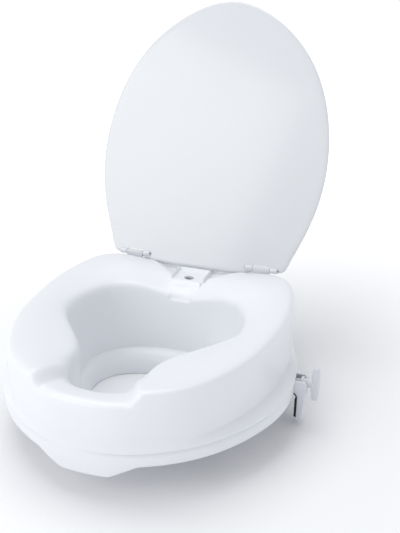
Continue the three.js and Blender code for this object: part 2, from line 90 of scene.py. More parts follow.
# ------------------------------------------------------------------ seat shell, half outlines
# From the middle of the front to the middle of the rear, (x, y).
BROW = ((0, -199), (38, -196), (73, -182), (109, -156), (138, -115), (161, -58),
        (172, 5), (175, 70), (166, 131), (140, 183), (78, 204), (0, 208))
FOOT = ((0, -197), (39, -193), (77, -178), (114, -153), (149, -115), (179, -60),
        (193, 0), (187, 66), (167, 129), (141, 182), (78, 203), (0, 207))
LIP = ((0, -157), (25, -153), (44, -134), (50, -98), (68, -64), (96, -30),
       (117, 10), (112, 58), (92, 96), (56, 114), (25, 118), (0, 119))
THROAT = ((0, -148), (26, -143), (45, -124), (53, -96), (71, -62), (94, -27),
          (107, 18), (104, 56), (84, 86), (51, 104), (24, 110), (0, 112))
GUARD = ((0, -128), (26, -122), (44, -104), (56, -78), (74, -50), (88, -18),
         (95, 16), (92, 46), (74, 70), (44, 85), (21, 89), (0, 90))
CREST = (93, 93.5, 94, 94, 94, 94, 94, 94, 95, 95, 88, 83)     # height of the top
LIP_TOP = (85, 85, 85.5, 86, 86, 87, 87, 86, 84, 80, 73, 70)   # height where it turns down

# Front dip: how far the top and the lip drop, and where along the brow the drop is whole and ends.
DIP_CREST = 14.0
DIP_LIP = 11.0
DIP_FLAT_X = 54.0
DIP_END_X = 70.0

UNDERSIDE = 3.0          # flat underside, on the rubber pads
TAB_DEPTH = 15.0         # front tab, below the rim plane
TAB_HALF_BOTTOM = 30.0
TAB_HALF_TOP = 62.0
STEP_HEIGHT = 17.0       # groove between the skirt and the wall
THROAT_BOTTOM = -14.0    # ledge above the splash guard
GUARD_BOTTOM = -48.0

# Rear recess round the vent hole.
VENT_Y = 162.0
VENT_RADIUS = 7.0
VENT_FLOOR = 82.5
VENT_HALF = 23.0         # half width of the flat floor
VENT_BACK = 186.0
RIB_HALF = 1.6           # half width of the rib round it
RIB_TOP = 87.0
# Hole in the floor: (height from the floor, radius past the hole's own), and the hidden hollow below
# it: (height from the floor, radius).
VENT_FLARE = ((-5, 0), (-1.4, 0), (-0.7, 0.2), (-0.2, 0.7), (0.2, 1.5), (6, 1.6))
VENT_HOLLOW = ((-50, 20), (-10, 22))

# Changes of the rear: a pair of values is where one sets in or ends, from none to whole.
REAR_TOP_Z = (60, 66)
REAR_TOP_Y = (118, 130)
VENT_START_Y = (136, 150)
RIB_START_Y = (149, 153)
SHELF_START = (27, 157)  # x and y where the shelf's front line starts
SHELF_BACKWARD = 0.88    # how far that line runs back for each mm outwards
SHELF_SLOPE = 0.42
SHELF_SOFTNESS = 5.0
SHELF_INNER_X = (24, 27)
SHELF_OUTER_X = (74, 84)
SHELF_END_Y = (193, 199)
CHANNEL_EDGE_X = (14.5, 17.5)
CHANNEL_LOW_Z = (61.5, 63)
CHANNEL_HIGH_Z = (63, 76)
CHANNEL_Y = (95, 135)    # the inner wall at the rear is between these

# ------------------------------------------------------------------ lid
# Half outline in the lid's plane, (x, u): u runs from the hinge axis to the tip.
LID_OUTLINE = ((0, 398), (52, 384), (97, 353), (133, 312), (158, 262), (172, 208), (176, 152),
               (170, 100), (157, 55), (144, 22), (137, 4), (126, -2.5), (101, -3), (72, -8.5),
               (36, -10.8), (0, -11))
LID_CENTRE = 190.0
LID_LEAN = math.radians(23.5)
# Control points of the rim's section: (mm in from the outline, height w above the underside).
LID_RIM = ((22, 0.2), (14, 0.1), (7, 0.0), (2.4, 0.1), (0.4, 1.0), (0, 2.8), (0.4, 4.6),
           (2.6, 5.5), (7, 5.9), (14, 6.3), (22, 6.7))
LID_THICK = 8.8

# ------------------------------------------------------------------ hinges and clamps, +X side
KNUCKLE_INNER = 88.3
KNUCKLE_OUTER = 113.7
KNUCKLE_RADIUS = 4.0
NOTCH_TOP = KNUCKLE_RADIUS + 0.7  # how far the lid is notched above the hinge's line
EAR_LENGTH = 11.5        # the lid's own knuckles, on both sides of each bracket's
EYE_RADIUS = 1.4
PIN_RADIUS = 2.5
PIN_REACH = 10.0         # into each ear
GAP = 0.3
LEAF_THICK = 4.0
LEAF_RECESS_Y = (191, 221)    # upright recess in the seat for the leaf
LEAF_RECESS_Z = (57, 130)
# Round ends of the seat's trough for the knuckles: (past the bracket's knuckle, radius).
TROUGH_END = ((15, 3), (13.5, 6.4), (12.5, 7))

CLAMP_HALF = 12.0        # half width of the bracket's head, along Y
CHEEK = 3.5
HEAD_INNER = 176.0
HEAD_OUTER = 208.5
HEAD_TOP = 19.0
SHOULDER = 6.5           # where the head steps down to the narrower arm
RIM_HOLLOW = (189.0, -6.5, 8.0)   # centre x, z and radius of the hollow over the rim's edge
ARM_NARROWER = 0.8       # on each side, than the head
ARM_OUTER = 207.6
ARM_TIP = ((197.0, -37.0), (197.9, -38.3), (199.3, -39.3))
ARM_HOOK = (201.6, -41.0, 1.9)    # centre x, z and radius of the round tip
CLAMP_TROUGH_DROP = 7.8  # from the spindle's line to the floor of the head's trough
THROAT_RADIUS = 4.6      # hole for the spindle in the head
SLOT_HALF = 5.2          # open slot for the knob's neck
SPINDLE_RADIUS = 4.0
SPINDLE_INNER = 146.0
SPINDLE_BORE = 4.3       # in the knob and in the insert
PITCH = 3.0
NECK_X = 203.5
NECK_RADIUS = 4.9
COLLAR_RADIUS = 6.8
HUB_RADIUS = 7.0
HUB_FLARE = 8.0
GRIP_X = 213.0
GRIP_DEPTH = 10.5
GRIP_HALF = 24.5
GRIP_WIDTH = 12.0
STRIP_NARROWER = 1.0     # on each side, than the head
STRIP_RADII = (7.7, 6.2)
STRIP_BACK = 196.7
TOOTH_PITCH = 4.0
TOOTH_COUNT = 7
TOOTH_TOP = -8.0
# One tooth: (x, how far down from its top).
TOOTH = ((196.0, 0.4), (193.7, 1.2), (193.7, 2.4), (196.0, 3.2))
NUT_BORE = 7.3           # bore in the seat for the brass insert and the spindle's end
POCKET_WALL = 168.0      # where the seat's pocket for the clamp's head ends
POCKET_OPEN = 230.0
POCKET_BOTTOM = -6.0
POCKET_CLEARANCE = 0.8

# ------------------------------------------------------------------ rim pads
PAD_TURNS = {"front_right": 48, "front_left": -48, "rear_right": -52, "rear_left": 52}
PAD_LENGTH = 52.0
PAD_WIDTH = 20.0
GROOVE_PITCH = 4.0
GROOVE_HALF = (0.7, 6.5)

# ------------------------------------------------------------------ floor
FLOOR_HALF = 20000.0
FLOOR_DROP = 0.5         # below the lowest piece
GLOW_START = 0.15        # metres from the origin, on the floor
GLOW_FULL = 1.4
GLOW_STRENGTH = 0.45


# ------------------------------------------------------------------ curves
def loop_weights(values):
    """Control values of a closed uniform cubic B-spline that passes through the given values.

    Each weight is a quarter of six times its value less its two neighbours, repeated until it settles.
    """
    weights = np.array(values, float)
    for _ in range(60):
        weights = (6 * values - np.roll(weights, 1, 0) - np.roll(weights, -1, 0)) / 4
    return weights


def loop_curve(weights, t):
    """Closed uniform cubic B-spline at parameters t, one unit of t for each control value.

    With u the part of t past its whole number, the four nearest controls are mixed by (1-u)^3,
    3u^3-6u^2+4, -3u^3+3u^2+3u+1 and u^3, each over six.
    """
    count = len(weights)
    whole = np.floor(t).astype(int)
    u = (t - whole).reshape((-1,) + (1,) * (weights.ndim - 1))
    mix = ((1 - u) ** 3, 3 * u ** 3 - 6 * u ** 2 + 4, -3 * u ** 3 + 3 * u ** 2 + 3 * u + 1, u ** 3)
    return sum(part * weights[(whole + k - 1) % count] for k, part in enumerate(mix)) / 6


def open_curve(controls, steps):
    """Uniform cubic B-spline from the first control point to the last, steps points for each span.

    Both end points are repeated three times, so that the curve starts and ends on them.
    """
    points = np.array(controls, float)
    points = np.vstack([points[:1], points[:1], points, points[-1:], points[-1:]])
    spans = len(points) - 3
    t = np.linspace(1, spans + 1 - 1e-9, spans * steps + 1)
    return loop_curve(points, t)


def outline(half, t):
    """Smooth mirrored outline: the half outline and its mirror image as one closed B-spline, at t."""
    right = np.array(half, float)
    left = right[-2:0:-1] * (-1, 1)
    return loop_curve(loop_weights(np.vstack([right, left])), t)


def loop_height(half, t):
    """The same for one value per point, such as a height."""
    right = np.array(half, float)
    return loop_curve(loop_weights(np.concatenate([right, right[-2:0:-1]])), t)


def smooth_step(low, high, values):
    """0 below low, 1 above high and 3k^2-2k^3 between them."""
    k = np.clip((values - low) / (high - low), 0, 1)
    return k * k * (3 - 2 * k)


def arc(centre_x, centre_z, radius, start, end, count):
    """Points of a circular arc, angles in degrees."""
    angle = np.radians(np.linspace(start, end, count + 1))
    return np.column_stack([centre_x + radius * np.cos(angle), centre_z + radius * np.sin(angle)])


# ------------------------------------------------------------------ meshes
def facing_out(vertices, faces):
    """Turns every face over if the closed skin's signed volume, the sum of a . (b x c) / 6 over the
    triangles of its faces, is negative."""
    fans = [(face[0], face[k], face[k + 1]) for face in faces for k in range(1, len(face) - 1)]
    a, b, c = (vertices[list(corner)] for corner in zip(*fans))
    if np.einsum("ij,ij->", a, np.cross(b, c)) < 0:
        faces = [face[::-1] for face in faces]
    return vertices, faces


def skin(rings, ends="joined"):
    """Closed skin over a grid rings[i, j]: each ring closes on itself.

    The stack of rings joins its last ring to its first, or closes each end in its middle ("points")
    or with one flat face ("flat").
    """
    rows, columns = rings.shape[:2]
    grid = np.arange(rows * columns).reshape(rows, columns)
    lower = grid if ends == "joined" else grid[:-1]
    upper = np.roll(grid, -1, 0) if ends == "joined" else grid[1:]
    quads = np.stack([lower, np.roll(lower, -1, 1), np.roll(upper, -1, 1), upper], -1)
    vertices = rings.reshape(-1, 3)
    faces = quads.reshape(-1, 4).tolist()
    if ends == "points":
        vertices = np.vstack([vertices, rings[[0, -1]].mean(1)])
        first, last = grid[0], grid[-1]
        tip = np.full(columns, rows * columns)
        faces += np.stack([np.roll(first, -1), first, tip], -1).tolist()
        faces += np.stack([last, np.roll(last, -1), tip + 1], -1).tolist()
    if ends == "flat":
        faces += [grid[0, ::-1].tolist(), grid[-1].tolist()]
    return facing_out(vertices, faces)


def mesh_object(name, skins, weld=0.0):
    """One mesh object from skins in millimetres."""
    vertices, faces = [], []
    for points, polygons in skins:
        start = sum(len(part) for part in vertices)
        vertices.append(points * MM)
        faces += [[start + index for index in face] for face in polygons]
    mesh = bpy.data.meshes.new(name)
    mesh.from_pydata(np.vstack(vertices).tolist(), [], faces)
    if weld:
        form = bmesh.new()
        form.from_mesh(mesh)
        bmesh.ops.remove_doubles(form, verts=form.verts, dist=weld * MM)
        bmesh.ops.dissolve_degenerate(form, edges=form.edges, dist=weld * MM)
        form.to_mesh(mesh)
        form.free()
    piece = bpy.data.objects.new(name, mesh)
    bpy.context.scene.collection.objects.link(piece)
    return piece


def settle(piece):
    """Applies the piece's modifiers to its mesh."""
    bpy.context.view_layer.update()
    seen = piece.evaluated_get(bpy.context.evaluated_depsgraph_get())
    old = piece.data
    made = bpy.data.meshes.new_from_object(seen)
    piece.modifiers.clear()
    piece.data = made
    made.name = old.name
    bpy.data.meshes.remove(old)


def combine(piece, others, operation):
    """Boolean of the piece with each of the others in turn, which are then removed."""
    for other in others:
        step = piece.modifiers.new(operation.lower(), "BOOLEAN")
        step.operation = operation
        step.solver = "EXACT"
        step.object = other
    settle(piece)
    for other in others:
        bpy.data.objects.remove(other)


def place(piece, body, material, nodes, sharp=32.0):
    """Shades the piece smooth up to an angle, gives it its finish and puts it in the frame."""
    piece.data.shade_smooth()
    piece.data.set_sharp_from_angle(angle=math.radians(sharp))
    piece.data.materials.clear()
    piece.data.materials.append(bpy.data.materials[material])
    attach(piece, body)
    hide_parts(*nodes)


def cad_box(node):
    """The two corners of a CAD node's box, in millimetres."""
    return (np.array(corner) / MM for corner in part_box(node))


def turned(name, profile, line, along="x", steps=48):
    """Turned solid: points (where along the line, radius) swept round a line along X or Z, which is
    given by where it stands on the other two axes."""
    profile = np.array(profile, float)
    angle = np.linspace(0, 2 * math.pi, steps, endpoint=False)
    length = np.broadcast_to(profile[:, :1], (len(profile), steps))
    circle = [middle + profile[:, 1:] * wave(angle) for middle, wave in zip(line, (np.cos, np.sin))]
    rings = (length, *circle) if along == "x" else (*circle, length)
    return mesh_object(name, [skin(np.stack(rings, -1), "flat")])


def rod(name, start, end, radius, line, steps=48):
    """Plain round rod along X."""
    return turned(name, ((start, radius), (end, radius)), line, steps=steps)


def rounded_box(name, low, high, radius, steps=5):
    """Box with round edges: the points of a sphere of that radius, each eighth of the sphere moved
    to its own corner of the smaller box inside."""
    low, high = np.array(low, float), np.array(high, float)
    core = (high - low) / 2 - radius
    quarter = np.linspace(0, math.pi / 2, steps + 1)
    turn = np.concatenate([quarter + k * math.pi / 2 for k in range(4)])
    sign_x = np.repeat([1, -1, -1, 1], steps + 1)
    sign_y = np.repeat([1, 1, -1, -1], steps + 1)
    rise = np.concatenate([quarter - math.pi / 2, quarter])
    sign_z = np.repeat([-1, 1], steps + 1)
    rings = np.stack([
        sign_x * core[0] + radius * np.outer(np.cos(rise), np.cos(turn)),
        sign_y * core[1] + radius * np.outer(np.cos(rise), np.sin(turn)),
        np.outer(sign_z * core[2] + radius * np.sin(rise), np.ones(len(turn))),
    ], -1) + (low + high) / 2
    return mesh_object(name, [skin(rings, "flat")], weld=0.001)


def inset_outline(points, distance):
    """A closed plane outline moved inwards: each point goes along the mean of its two edges' normals."""
    ahead = np.roll(points, -1, 0) - points
    ahead /= np.linalg.norm(ahead, axis=1, keepdims=True)
    normal = np.column_stack([-ahead[:, 1], ahead[:, 0]])
    mean = normal + np.roll(normal, 1, 0)
    mean /= np.maximum(np.einsum("ij,ij->i", mean, mean)[:, None] / 2, 0.6)
    area = np.einsum("i,i->", points[:, 0], np.roll(points[:, 1], -1) - np.roll(points[:, 1], 1))
    return points + mean * distance * np.sign(area)


def plate(name, points, low, high, edge, across="y", steps=3):
    """Plate of an even thickness with rounded edges: the outline is carried from low to high, and
    near each face it is set in along a quarter circle of the edge's radius."""
    points = np.array(points, float)
    angle = np.linspace(math.pi / 2, 0, steps + 1)
    rise, inset = edge * (1 - np.sin(angle)), edge * (1 - np.cos(angle))
    levels = (*(low + rise), *(high - rise[::-1]))
    rings = []
    for level, set_in in zip(levels, (*inset, *inset[::-1])):
        flat = inset_outline(points, set_in)
        level = np.full(len(flat), level)
        columns = (flat[:, 0], level, flat[:, 1]) if across == "y" else (flat[:, 0], flat[:, 1], level)
        rings.append(np.column_stack(columns))
    return mesh_object(name, [skin(np.array(rings), "flat")])


def mirror_side(piece, side):
    """For the left side, the mesh's mirror image in X, its faces turned back outwards."""
    if side < 0:
        piece.data.transform(Matrix.Scale(-1, 4, (1, 0, 0)))
        piece.data.flip_normals()
    return piece


# ------------------------------------------------------------------ materials
def node_group(name, inputs, outputs):
    """New shader node group with named sockets. Returns it with its input and output nodes."""
    group = bpy.data.node_groups.new(name, "ShaderNodeTree")
    for label, kind, value in inputs:
        socket = group.interface.new_socket(name=label, in_out="INPUT", socket_type=kind)
        socket.default_value = value
    for label, kind in outputs:
        group.interface.new_socket(name=label, in_out="OUTPUT", socket_type=kind)
    return group, group.nodes.new("NodeGroupInput"), group.nodes.new("NodeGroupOutput")


def noise(tree, source, scale, detail, roughness=0.5):
    """Noise texture on a vector socket."""
    node = tree.nodes.new("ShaderNodeTexNoise")
    node.inputs["Detail"].default_value = detail
    node.inputs["Roughness"].default_value = roughness
    tree.links.new(source, node.inputs["Vector"])
    if isinstance(scale, (int, float)):
        node.inputs["Scale"].default_value = scale
    else:
        tree.links.new(scale, node.inputs["Scale"])
    return node.outputs["Fac"]


def math_node(tree, operation, first, second):
    """Math node; each value is a socket or a number."""
    node = tree.nodes.new("ShaderNodeMath")
    node.operation = operation
    for socket, value in zip(node.inputs, (first, second)):
        if isinstance(value, (int, float)):
            socket.default_value = value
        else:
            tree.links.new(value, socket)
    return node.outputs["Value"]


def moulded_skin_group():
    """Skin of a moulded piece: fine grain over slow waves in the surface, and a varying gloss.

    Height is waves times their depth plus grain times its depth. Roughness is the base plus the
    spread times a second noise, from minus a half to plus a half.
    """
    floats = "NodeSocketFloat"
    group, given, made = node_group(
        "moulded_skin",
        [("Grain Scale", floats, 900.0), ("Grain Depth", floats, 0.00001), ("Wave Scale", floats, 20.0),
         ("Wave Depth", floats, 0.00005), ("Roughness", floats, 0.3), ("Spread", floats, 0.1)],
        [("Roughness", floats), ("Normal", "NodeSocketVector")])
    place_node = group.nodes.new("ShaderNodeTexCoord").outputs["Object"]
    grain = noise(group, place_node, given.outputs["Grain Scale"], 2.0)
    waves = noise(group, place_node, given.outputs["Wave Scale"], 1.0, 0.3)
    height = math_node(group, "ADD", math_node(group, "MULTIPLY", grain, given.outputs["Grain Depth"]),
                       math_node(group, "MULTIPLY", waves, given.outputs["Wave Depth"]))
    bump = group.nodes.new("ShaderNodeBump")
    bump.inputs["Distance"].default_value = 1.0
    group.links.new(height, bump.inputs["Height"])
    patches = noise(group, place_node, 14.0, 4.0)
    patches = math_node(group, "SUBTRACT", patches, 0.5)
    spread = math_node(group, "MULTIPLY", patches, given.outputs["Spread"])
    group.links.new(math_node(group, "ADD", given.outputs["Roughness"], spread), made.inputs["Roughness"])
    group.links.new(bump.outputs["Normal"], made.inputs["Normal"])
    return group


def tint_group():
    """Slow drift between two close colours, with fine flecks of the second one."""
    group, given, made = node_group(
        "colour_drift",
        [("Colour", "NodeSocketColor", (0.8, 0.8, 0.8, 1)),
         ("Second Colour", "NodeSocketColor", (0.7, 0.7, 0.7, 1)),
         ("Scale", "NodeSocketFloat", 9.0), ("Flecks", "NodeSocketFloat", 0.1)],
        [("Colour", "NodeSocketColor")])
    place_node = group.nodes.new("ShaderNodeTexCoord").outputs["Object"]
    drift = noise(group, place_node, given.outputs["Scale"], 3.0)
    fleck = noise(group, place_node, 1400.0, 1.0)
    total = math_node(group, "ADD", drift, math_node(group, "MULTIPLY", fleck, given.outputs["Flecks"]))
    mix = group.nodes.new("ShaderNodeMix")
    mix.data_type = "RGBA"
    group.links.new(total, mix.inputs["Factor"])
    group.links.new(given.outputs["Colour"], mix.inputs["A"])
    group.links.new(given.outputs["Second Colour"], mix.inputs["B"])
    group.links.new(mix.outputs["Result"], made.inputs["Colour"])
    return group


def finish(name, colour, second, skin_values, drift=9.0, flecks=0.1, **fixed):
    """Principled material with a drifting colour and a moulded or machined skin.

    Other values are constant over the surface and are set on the shader's own sockets.
    """
    material = bpy.data.materials.new(name)
    material.use_nodes = True
    tree = material.node_tree
    shader = tree.nodes["Principled BSDF"]
    for label, value in fixed.items():
        shader.inputs[label.replace("_", " ")].default_value = value
    tint = tree.nodes.new("ShaderNodeGroup")
    tint.node_tree = bpy.data.node_groups["colour_drift"]
    tint.inputs["Colour"].default_value = (*colour, 1)
    tint.inputs["Second Colour"].default_value = (*second, 1)
    tint.inputs["Scale"].default_value = drift
    tint.inputs["Flecks"].default_value = flecks
    tree.links.new(tint.outputs["Colour"], shader.inputs["Base Color"])
    skin_node = tree.nodes.new("ShaderNodeGroup")
    skin_node.node_tree = bpy.data.node_groups["moulded_skin"]
    for label, value in skin_values.items():
        skin_node.inputs[label].default_value = value
    tree.links.new(skin_node.outputs["Roughness"], shader.inputs["Roughness"])
    tree.links.new(skin_node.outputs["Normal"], shader.inputs["Normal"])
    return material


def glowing_away(material):
    """Adds a white glow that rises from none near the origin to its full strength far from it, so
    that the floor stays pale where the lamps do not reach."""
    tree = material.node_tree
    shader = tree.nodes["Principled BSDF"]
    length = tree.nodes.new("ShaderNodeVectorMath")
    length.operation = "LENGTH"
    tree.links.new(tree.nodes.new("ShaderNodeTexCoord").outputs["Object"], length.inputs[0])
    rise = tree.nodes.new("ShaderNodeMapRange")
    rise.interpolation_type = "SMOOTHSTEP"
    rise.inputs["From Min"].default_value = GLOW_START
    rise.inputs["From Max"].default_value = GLOW_FULL
    rise.inputs["To Max"].default_value = GLOW_STRENGTH
    tree.links.new(length.outputs["Value"], rise.inputs["Value"])
    tree.links.new(rise.outputs["Result"], shader.inputs["Emission Strength"])
    shader.inputs["Emission Color"].default_value = (1, 1, 1, 1)


def deeper(colour, share):
    """The colour, darker by a share."""
    return tuple(value * (1 - share) for value in colour)


def skin_of(grain_scale, grain_depth, wave_scale, wave_depth, roughness, spread):
    """Values for the moulded_skin group, its depths given in millimetres."""
    return {"Grain Scale": grain_scale, "Grain Depth": grain_depth * MM, "Wave Scale": wave_scale,
            "Wave Depth": wave_depth * MM, "Roughness": roughness, "Spread": spread}


def finishes(settings):
    """Makes every material of the object and the floor's."""
    white, lid, grey, knob = map(tuple, (settings.white, settings.lid, settings.grey, settings.knob))
    finish("shell_white", white, deeper(white, 0.03),
           skin_of(700, 0.006, 16, 0.25, settings.shell_roughness, 0.10),
           IOR=1.5, Coat_Weight=0.25, Coat_Roughness=0.18)
    # The lid's colour is set darker than the shell's, though both are the same white plastic: painted shade
    # on the lid. The hinge brackets below take the same darker colour, so it is painted shade on them too.
    finish("lid_white", lid, deeper(lid, 0.02), skin_of(600, 0.003, 7, 0.35, settings.lid_roughness, 0.06),
           IOR=1.5, Coat_Weight=0.4, Coat_Roughness=0.08)
    finish("bracket_white", lid, deeper(lid, 0.05), skin_of(1100, 0.008, 40, 0.02, 0.5, 0.1))
    finish("clamp_grey", grey, deeper(grey, 0.06), skin_of(1600, 0.012, 60, 0.03, 0.42, 0.12))
    finish("knob_grey", knob, deeper(knob, 0.06), skin_of(1500, 0.010, 50, 0.04, 0.36, 0.12))
    finish("grip_rubber", (0.022, 0.022, 0.025), (0.05, 0.05, 0.052),
           skin_of(1800, 0.03, 90, 0.05, 0.78, 0.15), drift=60, flecks=0.4)
    finish("pad_rubber", (0.2, 0.21, 0.23), (0.27, 0.28, 0.3),
           skin_of(1500, 0.03, 70, 0.05, 0.8, 0.12), drift=40, flecks=0.35)
    finish("zinc_steel", (0.62, 0.63, 0.65), (0.45, 0.46, 0.5),
           skin_of(2200, 0.004, 120, 0.01, 0.26, 0.2), drift=80, flecks=0.3, Metallic=1.0)
    finish("brass", (0.62, 0.46, 0.2), (0.45, 0.31, 0.12),
           skin_of(2200, 0.004, 120, 0.01, 0.3, 0.2), drift=80, flecks=0.3, Metallic=1.0)
    glowing_away(finish("floor", (0.93, 0.93, 0.94), (0.9, 0.9, 0.915),
                        skin_of(60, 0.05, 3, 0.2, 0.85, 0.05), drift=2))


# ------------------------------------------------------------------ settings
class ShellSettings(PropertyGroup):
    """Sizes of the seat shell that a user would change."""

    around: IntProperty(name="Steps Around", description="Mesh columns round the seat", default=330, min=88)
    vent_radius: FloatProperty(name="Vent Radius", description="Radius of the vent hole in the rear recess",
                               default=VENT_RADIUS * MM, min=0.002, unit="LENGTH")
    channel_depth: FloatProperty(name="Channel Depth", description="Depth of the channel below the vent",
                                 default=1.6 * MM, min=0.0, unit="LENGTH")


class LidSettings(PropertyGroup):
    """Sizes of the lid that a user would change."""

    around: IntProperty(name="Steps Around", description="Mesh columns round the lid", default=300, min=60)
    hollow: FloatProperty(name="Underside Hollow", description="How far the underside's middle is set in",
                          default=0.5 * MM, min=0.0, unit="LENGTH")


class ClampSettings(PropertyGroup):
    """Sizes of the clamps that a user would change."""

    thread_depth: FloatProperty(name="Thread Depth", description="Depth of the spindle's thread",
                                default=0.75 * MM, min=0.0, unit="LENGTH")
    edge: FloatProperty(name="Edge Radius", description="Rounding of the bracket's edges",
                        default=0.9 * MM, min=0.0001, unit="LENGTH")


class FinishSettings(PropertyGroup):
    """Colours and gloss."""

    white: FloatVectorProperty(name="Shell White", description="Colour of the seat", subtype="COLOR",
                               size=3, min=0, max=1, default=(0.84, 0.855, 0.885))
    # Set darker than the shell white: painted shade on the lid and on the hinge brackets, which are the same
    # white plastic.
    lid: FloatVectorProperty(name="Lid White", description="Colour of the lid", subtype="COLOR",
                             size=3, min=0, max=1, default=(0.675, 0.69, 0.715))
    grey: FloatVectorProperty(name="Clamp Grey", description="Colour of the clamps", subtype="COLOR",
                              size=3, min=0, max=1, default=(0.79, 0.80, 0.85))
    knob: FloatVectorProperty(name="Knob Grey", description="Colour of the knobs", subtype="COLOR",
                              size=3, min=0, max=1, default=(0.75, 0.76, 0.79))
    shell_roughness: FloatProperty(name="Shell Roughness", description="Roughness of the seat's plastic",
                                   default=0.34, min=0, max=1, subtype="FACTOR")
    lid_roughness: FloatProperty(name="Lid Roughness", description="Roughness of the lid's plastic",
                                 default=0.2, min=0, max=1, subtype="FACTOR")


class StageSettings(PropertyGroup):
    """Camera and light."""

    azimuth: FloatProperty(name="Azimuth", description="Camera's turn from straight in front, to the right",
                           default=math.radians(18.44), subtype="ANGLE")
    elevation: FloatProperty(name="Elevation", description="Camera's height above the level",
                             default=math.radians(22.3), subtype="ANGLE")
    roll: FloatProperty(name="Roll", description="Camera's turn about its own line of sight",
                        default=math.radians(0.94), subtype="ANGLE")
    distance: FloatProperty(name="Distance", description="From the camera to the point it looks at",
                            default=1.1946, unit="LENGTH")
    target: FloatVectorProperty(name="Target", description="Point that the camera looks at", size=3,
                                subtype="TRANSLATION", default=(0.00034, 0.21, 0.08155))
    lens: FloatProperty(name="Lens", description="Focal length on a 36 mm long side", default=52.32)
    sky: FloatProperty(name="Sky", description="Strength of the even white surroundings", default=0.66, min=0)
    key: FloatProperty(name="Key Light", description="Power of the large light on the left",
                       default=18.0, min=0, unit="POWER")
    top: FloatProperty(name="Top Light", description="Power of the large light overhead",
                       default=18.0, min=0, unit="POWER")
    fill: FloatProperty(name="Fill Light", description="Power of the light on the right",
                        default=1.2, min=0, unit="POWER")


# ------------------------------------------------------------------ seat shell
def shell_controls(t):
    """Control rings of the shell's section at stations t, from the underside out, up the wall, over
    the top, down through the opening, round the splash guard and back under.

    Each ring is an outline moved inwards, towards the opening, by some millimetres, at a height. A
    ring named twice over makes a crisp edge. The last number is how many mesh rows follow it.
    """
    brow, foot, lip, throat, guard = (outline(half, t) for half in (BROW, FOOT, LIP, THROAT, GUARD))
    dip = (1 - smooth_step(DIP_FLAT_X, DIP_END_X, np.abs(brow[:, 0]))) * (brow[:, 1] < 0)
    crest, lip_top = loop_height(CREST, t) - DIP_CREST * dip, loop_height(LIP_TOP, t) - DIP_LIP * dip
    inward = (lip - brow) / np.linalg.norm(lip - brow, axis=1, keepdims=True)
    slope = (TAB_HALF_TOP - np.abs(foot[:, 0])) / (TAB_HALF_TOP - TAB_HALF_BOTTOM)
    tab = TAB_DEPTH * np.clip(slope, 0, 1) * (foot[:, 1] < 0)

    def mixed(first, second, share):
        return share * first + (1 - share) * second

    rings = (
        (foot, 8, UNDERSIDE, 2, 3),
        (foot, 6, -tab, 2, 3),
        (foot, 0.8, -tab, 2, 4),
        (foot, 0, 5, 1, 4),
        (foot, 0.6, 12, 1, 6),
        (foot, 3.6, STEP_HEIGHT - 0.8, 2, 6),
        (foot, -0.6, STEP_HEIGHT + 1, 2, 5),
        (foot, -0.4, STEP_HEIGHT + 3.5, 2, 5),
        (mixed(foot, brow, 0.3), 1.8, STEP_HEIGHT + 11, 2, 6),
        (mixed(foot, brow, 0.12), 1, STEP_HEIGHT + 20, 1, 5),
        (brow, 0, 52, 1, 5),
        (brow, 0.3, crest - 28, 1, 5),
        (brow, 0.3, crest - 14, 1, 5),
        (brow, 0.8, crest - 5, 1, 6),
        (brow, 2.2, crest - 0.8, 1, 8),
        (brow, 8, crest + 1.4, 1, 9),
        (mixed(brow, lip, 0.7), 0, crest + 1.5, 1, 14),
        (mixed(brow, lip, 0.5), 0, crest, 1, 14),
        (mixed(brow, lip, 0.3), 0, (crest + lip_top) / 2 + 1, 1, 12),
        (lip, -9, lip_top + 1.5, 1, 9),
        (lip, -2, lip_top - 4, 1, 7),
        (lip, 0, lip_top - 16, 1, 8),
        (mixed(lip, throat, 0.6), 0, 34, 1, 6),
        (throat, 0, 6, 1, 5),
        (throat, 0, THROAT_BOTTOM, 2, 4),
        (throat, 5, THROAT_BOTTOM - 2, 2, 4),
        (guard, 0, THROAT_BOTTOM - 12, 1, 5),
        (guard, 0, GUARD_BOTTOM, 2, 4),
        (guard, -4, GUARD_BOTTOM, 2, 3),
        (guard, -4.5, THROAT_BOTTOM - 16, 1, 3),
        (throat, -5, THROAT_BOTTOM - 6, 2, 3),
        (throat, -6, UNDERSIDE - 4, 1, 3),
        (throat, -10, UNDERSIDE, 2, 3),
    )
    controls, rows = [], []
    for base, in_by, height, times, steps in rings:
        ring = np.column_stack([base + inward * in_by, np.broadcast_to(height, len(t))])
        for _ in range(times):
            rows.append(len(controls) + np.arange(steps) / steps)
            controls.append(ring)
    return np.array(controls), np.concatenate(rows)


def stations(around, loop):
    """Station numbers round the seat, closer together at the middle of the rear, where the vent is.

    The even steps are pulled towards the rear station by a smooth wave, so the spacing there is
    about a fifth of the spacing at the front.
    """
    even = np.linspace(0, 1, around, endpoint=False)
    pull = 0.68 * np.sin(2 * math.pi * (even - 0.5)) / (2 * math.pi)
    return (even - pull) % 1 * loop


